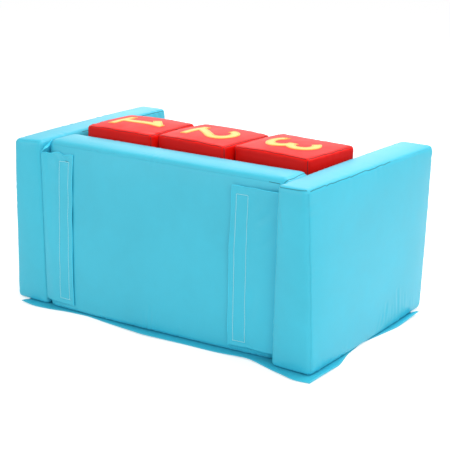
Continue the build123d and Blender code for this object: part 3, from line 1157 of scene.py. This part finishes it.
def clothFrom(name, grid, thickness, finish):
    made = piece(name, grid.reshape(-1, 3), gridFaces(*grid.shape[:2]), finish)
    thick = made.modifiers.new("thickness", "SOLIDIFY")
    thick.thickness = thickness
    thick.offset = 0
    return flatten(made)


def rectangleOn(grid, bounds, inset, lift):
    # a closed path on a cloth grid, inset from a leaning strip
    nearAt, farAt, low, high = bounds
    low, high = low + inset, high - inset
    step = inset if farAt(low) > nearAt(low) else -inset
    surface = BVHTree.FromPolygons(
        [Vector(p) for p in grid.reshape(-1, 3)], gridFaces(*grid.shape[:2])
    )
    corners = [(nearAt(low) + step, low), (farAt(low) - step, low)]
    corners += [(farAt(high) - step, high), (nearAt(high) + step, high), corners[0]]
    path = []
    for (x0, z0), (x1, z1) in zip(corners, corners[1:]):
        for share in np.linspace(0, 1, max(8, round(np.hypot(x1 - x0, z1 - z0) / 0.006))):
            x, z = x0 + (x1 - x0) * share, z0 + (z1 - z0) * share
            spot = surface.ray_cast(Vector((x, -1, z)), Vector((0, 1, 0)))[0]
            path.append((x, spot.y - lift, z))
    return path


for name, flapSide in flapSides.items():
    grid, panel = flapPoints(name, flapSettings, flapSide)
    # the flap and its roll take the vinyl that is painted 2% lighter
    flap = clothFrom(name + "Flap", grid, flapSettings["thickness"], "flapVinyl")
    body = name + "_flap"
    fit(flap, body, "turquoise_vinyl", name + "_flap")
    radius = {"Radius": flapSettings["rollRadius"]}
    roll = alongPaths(name + "FlapRoll", [grid[:, 0]], sewnSeam, radius, "flapVinyl", body)
    rim = np.vstack((grid[:, -1], grid[-1, ::-1]))  # up the free edge and back along the top
    # the edging is a lighter cord, a painted highlight up the free edge and along the top
    radius = {"Radius": flapSettings["edgeRadius"]}
    edging = alongPaths(name + "FlapEdge", [rim], sewnSeam, radius, "flapEdge", body)
    outline = rectangleOn(grid, panel, flapSettings["stitchInset"], flapSettings["stitchLift"])
    sewn = alongPaths(
        name + "FlapStitches", [outline], stitches, flapStitchSettings, "paleThread", body
    )
print("flaps hung")

# the wall's seam goes on above the left flap, as a narrow strip that twists round the corner
tailSettings = {
    "path": (
        (-0.4368, -0.2660, 0.466),
        (-0.4270, -0.2600, 0.476),
        (-0.4240, -0.2430, 0.486),
        (-0.4280, -0.2240, 0.498),
    ),
    "width": 0.010,
    "start": -40,  # degrees that its foot is turned
    "turns": 1.0,  # in half turns
    "thickness": 0.0012,
}


def seamTail(settings):
    places = np.array(settings["path"])
    known = np.linspace(0, 1, len(places))
    rows = []
    for share in np.linspace(0, 1, 26):
        angle = radians(settings["start"]) + share * settings["turns"] * tau / 2
        wide = settings["width"] * (0.55 + 0.45 * sin(share * tau / 2) ** 2) / 2
        middle = np.array([np.interp(share, known, places[:, k]) for k in range(3)])
        aside = np.array((cos(angle), sin(angle), 0.5 * sin(share * 7)))
        rows.append([middle + aside * wide * across for across in np.linspace(-1, 1, 7)])
    # the strip takes the painted highlight vinyl, much lighter than the wall
    tail = clothFrom("leftSeamTail", np.array(rows), settings["thickness"], "flapEdge")
    fit(tail, "left_end_wall", "turquoise_vinyl")


seamTail(tailSettings)
print("seam tail twisted")

floorSettings = {
    "cell": 0.008,
    "thickness": 0.0010,
    "drawnIn": 0.0025,  # how much further in the edge of the lower layer lies
    # the crooked front edge as X and Y, from left to right
    "frontEdge": (
        (-0.500, -0.336),
        (-0.436, -0.341),
        (-0.370, -0.330),
        (-0.315, -0.316),
        (-0.236, -0.306),
        (-0.166, -0.312),
        (-0.092, -0.318),
        (-0.006, -0.323),
        (0.065, -0.313),
        (0.139, -0.303),
        (0.212, -0.298),
        (0.300, -0.290),
        (0.345, -0.286),
        (0.400, -0.296),
        (0.450, -0.311),
        (0.510, -0.324),
        (0.560, -0.312),
    ),
    # the right edge as Y and X, from front to back
    "rightEdge": (
        (-0.320, 0.556),
        (-0.255, 0.560),
        (-0.187, 0.558),
        (-0.110, 0.538),
        (-0.020, 0.528),
        (0.055, 0.540),
        (0.137, 0.553),
        (0.268, 0.556),
    ),
    "wallFoot": ((-0.53, -0.305), (-0.40, -0.305), (0.40, -0.262), (0.42, -0.278), (0.53, -0.278)),
    "wallEnd": 0.528,
    "curl": 0.022,  # how far outside the walls it is fully lifted
    # where the edge is lifted: X, Y, how far around and how high
    "lifts": (
        (-0.505, -0.340, 0.060, 0.0050),
        (-0.020, -0.325, 0.110, 0.0030),
        (0.330, -0.290, 0.060, 0.0045),
        (0.470, -0.318, 0.045, 0.0030),
        (0.565, -0.240, 0.050, 0.0035),
        (0.558, 0.270, 0.075, 0.0090),
    ),
}


def edgePlace(points, places):
    # a smooth line through the points of a crooked edge
    known, values = np.array(points).T
    fine = np.linspace(known[0], known[-1], 160)
    line = np.interp(fine, known, values)
    kernel = np.hanning(11) / np.hanning(11).sum()
    line = np.convolve(np.pad(line, 5, "edge"), kernel, "valid")
    return np.interp(places, fine, line)


def floorLayer(name, node, settings, inwards):
    low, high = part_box(node)
    height = (low.z + high.z) / 2
    columns = round((high.x - low.x) / settings["cell"])
    rows = round((high.y - low.y) / settings["cell"])
    across, along = np.meshgrid(np.linspace(0, 1, columns), np.linspace(0, 1, rows))
    right = edgePlace(settings["rightEdge"], low.y + (high.y - low.y) * along) - inwards
    x = low.x + (right - low.x) * across
    front = edgePlace(settings["frontEdge"], x) + inwards
    y = front + (high.y - front) * along
    footX, footY = np.array(settings["wallFoot"]).T
    outside = np.maximum(np.interp(x, footX, footY) - y, x - settings["wallEnd"])
    z = np.full(x.shape, height)
    for spotX, spotY, reach, lift in settings["lifts"]:
        away = np.hypot(x - spotX, y - spotY) / reach
        z += lift * np.exp(-(away**2)) * smooth(0, settings["curl"], outside)
    grid = np.stack((x, y, z), axis=-1)
    # the sheet takes the vinyl that is painted 3% darker
    made = clothFrom(name, grid, settings["thickness"], "floorVinyl")
    fit(made, "base", "turquoise_vinyl", node)


floorLayer("floorSheetLower", "floor_sheet_lower", floorSettings, floorSettings["drawnIn"])
floorLayer("floorSheetUpper", "floor_sheet_upper", floorSettings, 0.0)
print("floor sheet laid")

# hookLift: how much further off the wall's face a hook strip lies than a loop strip
stripSettings = {"thickness": 0.0011, "offFace": 0.0008, "hookLift": 0.0013}
for side in flapSides:
    for node, body, kind, lift in (
        (f"front_wall_loop_strip_{side}", "base", "loop", 0),
        (f"{side}_flap_hook_strip", f"{side}_flap", "hook", stripSettings["hookLift"]),
    ):
        low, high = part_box(node)
        leftAt, rightAt = edgeLine(node, -1), edgeLine(node, 1)
        offFace = stripSettings["offFace"] + lift
        grid = np.array(
            [
                [(x, frontFace(x, z) - offFace, z) for x in np.linspace(leftAt(z), rightAt(z), 12)]
                for z in np.linspace(low.z, high.z, 90)
            ]
        )
        name, thickness = node.replace("_", "-"), stripSettings["thickness"]
        strip = clothFrom(name, grid, thickness, kind + "Tape")
        fit(strip, body, kind + "_tape", node)
print("strips sewn on")

zipSettings = {"tapeLift": 0.0006, "toothLift": 0.0021, "thickness": 0.0008, "endGap": 0.012}
for cushion, wall in walls.items():
    node, body = wall["node"], wall["body"]
    low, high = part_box(node + "_zip")
    behind = surfaceOf(bpy.data.objects[cushion])

    def onBack(x, z, lift):
        spot = behind.ray_cast(Vector((x, 1, z)), Vector((0, -1, 0)))[0]
        return (x, spot.y + lift, z)

    level = high.x - low.x > high.z - low.z
    xs = np.linspace(low.x, high.x, 120 if level else 8)
    zs = np.linspace(high.z, low.z, 8 if level else 70)
    grid = np.array([[onBack(x, z, zipSettings["tapeLift"]) for x in xs] for z in zs])
    tape = clothFrom(node + "ZipTape", grid, zipSettings["thickness"], "zipTape")
    fit(tape, body, "zip_tape", node + "_zip")
    middle = (low + high) / 2
    gap = zipSettings["endGap"]
    if level:
        chain = [(x, middle.z) for x in np.linspace(low.x + gap, high.x - gap, 120)]
    else:
        chain = [(middle.x, z) for z in np.linspace(low.z + gap, high.z - gap, 70)]
    path = [onBack(x, z, zipSettings["toothLift"]) for x, z in chain]
    alongPaths(
        node + "ZipTeeth", [path], coilTeeth, toothSettings, "zipTeeth", body, "zip_tape"
    )
print("zips sewn in")

studioSettings = {
    "floorSize": 12.0,
    "floorColour": (0.80, 0.80, 0.80),
    "floorGlow": 0.55,  # only seen by the camera and in reflections
    "ambient": 0.55,
    "background": 1.0,
}
lampSettings = {
    "overhead": {"place": (0.9, 1.2, 3.2), "aim": (0, 0, 0.3), "size": 2.4, "power": 75.0},
    "rightSide": {"place": (3.0, -1.6, 1.8), "aim": (0, 0, 0.2), "size": 2.0, "power": 32.0},
    "frontFill": {"place": (-1.8, -3.4, 1.6), "aim": (0, 0, 0.2), "size": 2.4, "power": 28.0},
    "backSheen": {"place": (-1.8, 2.6, 1.6), "aim": (0, 0, 0.4), "size": 2.0, "power": 11.0},
}


def seenRays(look):
    rays = ("Is Camera Ray", "Is Glossy Ray", "Is Transmission Ray")
    camera, glossy, clear = (look.node("ShaderNodeLightPath", output=ray) for ray in rays)
    return camera + glossy + clear


def floorFinish(name, settings):
    # the floor takes the object's shadow, and a glow that is only seen makes it white
    look = Finish(name)
    pale = look.node("ShaderNodeBsdfDiffuse", inputs={"Color": (*settings["floorColour"], 1)})
    glow = look.node("ShaderNodeEmission", inputs={"Strength": settings["floorGlow"]})
    bright = look.node("ShaderNodeAddShader", inputs={0: pale, 1: glow})
    surface = look.node("ShaderNodeMixShader", inputs={0: seenRays(look), 1: pale, 2: bright})
    look.node("ShaderNodeOutputMaterial", inputs={"Surface": surface})
    return look.material


def makeStudio(settings):
    size = settings["floorSize"]
    corners = [(-size, -size), (size, -size), (size, size), (-size, size)]
    finishes["studioFloor"] = floorFinish("studioFloor", settings)
    floor = piece("studioFloor", [(*c, -0.0004) for c in corners], [(0, 1, 2, 3)], "studioFloor")
    look = Finish("studio", "worlds")
    strength = settings["ambient"] + seenRays(look) * (settings["background"] - settings["ambient"])
    inputs = {"Color": (1, 1, 1, 1), "Strength": strength}
    sky = look.node("ShaderNodeBackground", inputs=inputs)
    look.node("ShaderNodeOutputWorld", inputs={"Surface": sky})
    bpy.context.scene.world = look.material


def makeLamp(name, settings):
    light = bpy.data.lights.new(name, "AREA")
    light.size = settings["size"]
    light.energy = settings["power"]
    lamp = bpy.data.objects.new(name, light)
    lamp.location = settings["place"]
    aim = Vector(settings["aim"]) - lamp.location
    lamp.rotation_euler = aim.to_track_quat("-Z", "Y").to_euler()
    bpy.context.scene.collection.objects.link(lamp)


makeStudio(studioSettings)
for name, settings in lampSettings.items():
    makeLamp(name, settings)
for name, cadNode in nodes.items():
    finish = "coreFoam" if name.endswith("foam") else "zipTape"
    if name.endswith("zip_slider"):
        finish = "sliderEnamel"
    cadNode.data.materials.clear()
    cadNode.data.materials.append(finishes[finish])
print("studio lit")
